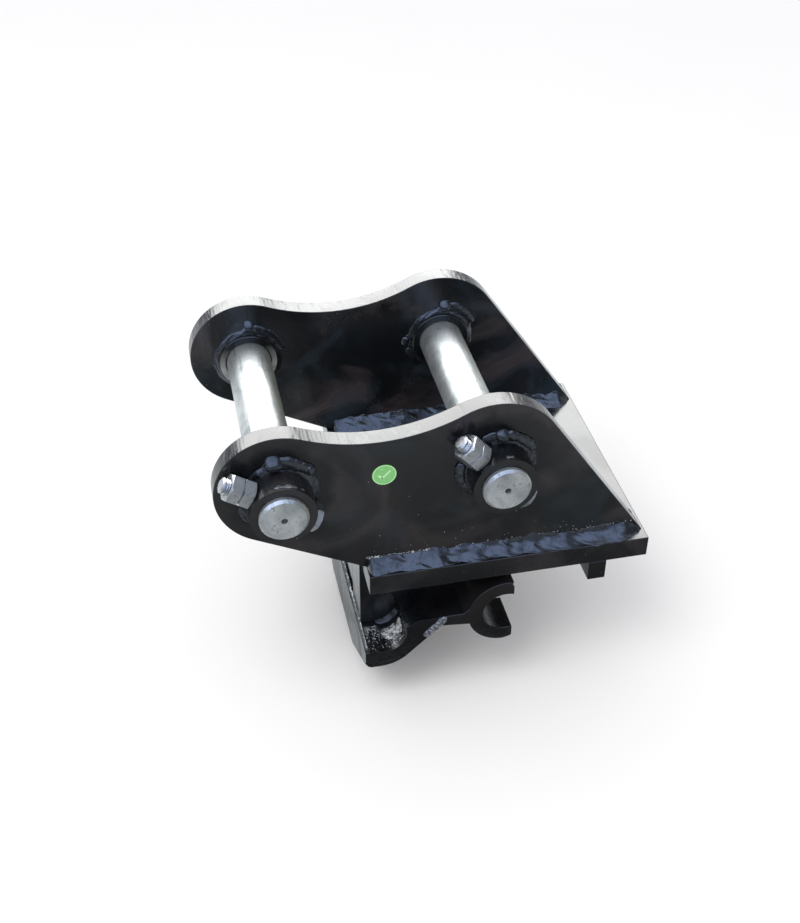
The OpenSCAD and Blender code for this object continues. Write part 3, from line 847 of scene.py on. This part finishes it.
def sticker():
    lo, hi = bounds_of("check_sticker")
    centre = (lo + hi) / 2
    r = (hi.x - lo.x) / 2
    m = Matrix.Translation((centre.x, hi.y, centre.z)) @ Matrix.Rotation(math.pi / 2, 4, "X")
    thick = 0.0002
    verts, faces = loft(lathe([(0.0001, 0), (r, 0), (r, thick), (0.0001, thick)], m, 72))
    disc = add_mesh("sticker_disc", verts, faces, GREEN, sharp=40)
    place(disc, "frame", "green_sticker", "check_sticker")
    made = Pieces()
    z0, z1 = thick * 0.9, thick + 0.00004
    rim = lathe([(r * 0.97, z0), (r * 0.97, z1), (r * 0.9, z1), (r * 0.9, z0)], m, 72)
    made.add(*loft(rim, closed=True))

    def bar(x0, y0, x1, y1, w):
        """A printed line of width w."""
        d = Vector((x1 - x0, y1 - y0, 0)).normalized()
        s = Vector((-d.y, d.x, 0)) * w / 2
        a, b = Vector((x0, y0, 0)), Vector((x1, y1, 0))
        low = [m @ (p + Vector((0, 0, z0))) for p in (a - s, b - s, b + s, a + s)]
        top = [m @ (p + Vector((0, 0, z1))) for p in (a - s, b - s, b + s, a + s)]
        made.add(*loft([low, top]))

    # the tick, then five short dashes above it
    bar(-0.0036, -0.0002, -0.0012, -0.0028, 0.0013)
    bar(-0.0016, -0.0028, 0.0038, 0.0028, 0.0013)
    for k in range(5):
        bar(-0.0028 + 0.0006 * k, 0.0044 - 0.00002 * k, -0.0025 + 0.0006 * k, 0.0044, 0.0005)
    place(add_mesh("sticker_print", made.verts, made.faces, PRINT, smooth=False), "frame", "green_sticker")


sticker()


# ---- Floor, light and camera ----

# just below the coupler's lowest point
FLOOR_Z = -0.0006
FLOOR_REACH = 30


def pale_floor():
    """A pale floor. Its reflections carry painted shadow: a dark band just in front of the coupler, and
    painted grey shade further out.
    """
    s = Shader("pale_floor")
    depth = s.split(s.place)[1]
    # painted shadow, seen only in reflections: darkest next to the coupler, grey further in front
    in_front = s.ramp(depth, -0.16, -0.36, 0.085, 0.48)
    behind = s.ramp(depth, -0.135, -0.07, 0.0, 0.85)
    painted_shadow_in_reflections = s.math("ADD", in_front, behind)
    reflected = s.node("LightPath").outputs["Is Glossy Ray"]
    tone = s.mix(s.noise(6, 3), (0.87, 0.87, 0.87), (0.89, 0.89, 0.89))
    shade = s.mix(painted_shadow_in_reflections, (0, 0, 0), (0.93, 0.98, 1))
    s.set(Base_Color=s.mix(reflected, tone, shade), Roughness=1.0, Specular_IOR_Level=0.0)
    corners = [(x * FLOOR_REACH, y * FLOOR_REACH, FLOOR_Z) for x, y in ((-1, -1), (1, -1), (1, 1), (-1, 1))]
    add_mesh("floor", corners, [(0, 1, 2, 3)], s.mat, smooth=False)


pale_floor()


def sky():
    """Soft white light for matt surfaces; gloss also sees a bright panel behind and a cool sky in front."""
    world = bpy.data.worlds.new("studio")
    bpy.context.scene.world = world
    world.use_nodes = True
    s = Nodes(world.node_tree)

    def soft(value, lo, hi, a=0.0, b=1.0):
        return s.ramp(value, lo, hi, a, b, "SMOOTHSTEP")

    x, y, z = s.split(s.node("TexCoord").outputs["Generated"])
    up = soft(z, 0.14, 0.46)
    back = soft(y, 0.12, 0.55)
    side = s.math("MULTIPLY", soft(x, 0.34, 0.64, 1.0, 0.0), soft(x, -0.78, -0.42))
    panel = s.math("MULTIPLY", s.math("MULTIPLY", up, back), side)
    front = s.math("MULTIPLY", soft(y, 0.12, -0.25), soft(x, 0.35, 0.6, 1.0, 0.0))
    cool = s.math("MULTIPLY", front, soft(z, 0.1, 0.5))
    level = s.mix(soft(y, 0.1, -0.3), (0.5, 0.53, 0.57), (0.12, 0.125, 0.135))
    gloss = s.mix(cool, level, (1.35, 1.6, 2.3))
    gloss = s.mix(panel, gloss, (11.0, 11.1, 11.0))
    reflected = s.node("LightPath").outputs["Is Glossy Ray"]
    background = s.node("Background")
    s.put(background.inputs["Color"], s.mix(reflected, (1.0, 1.0, 1.02), gloss))
    s.put(s.node("OutputWorld").inputs["Surface"], background.outputs[0])


sky()

key = bpy.data.lights.new("key", "AREA")
key.shape = "RECTANGLE"
key.size = 1.2
key.size_y = 1.2
key.energy = 16
key.color = (1, 0.985, 0.96)
key_object = bpy.data.objects.new("key", key)
key_object.location = (-0.9, -0.6, 1.9)
to_coupler = Vector((0, 0, 0.1)) - key_object.location
key_object.rotation_euler = to_coupler.to_track_quat("-Z", "Y").to_euler()
key_object.visible_glossy = False
bpy.context.scene.collection.objects.link(key_object)

camera = bpy.data.cameras.new("camera")
camera.sensor_width = 36
camera.lens = 50.665222
camera_object = bpy.data.objects.new("camera", camera)
bpy.context.scene.collection.objects.link(camera_object)
# from the near side, a little to the rear and well above
look = Vector((0.1692, 0.7721, -0.6126)).normalized()
lift = Vector((0.1271, 0.5993, 0.7904))
right = look.cross(lift).normalized()
lift = right.cross(look)
pose = Matrix((right, lift, -look)).transposed().to_4x4()
pose.translation = Vector((-0.157613, -0.682511, 0.672559))
camera_object.matrix_world = pose
bpy.context.scene.camera = camera_object
bpy.context.scene.view_settings.view_transform = "Standard"
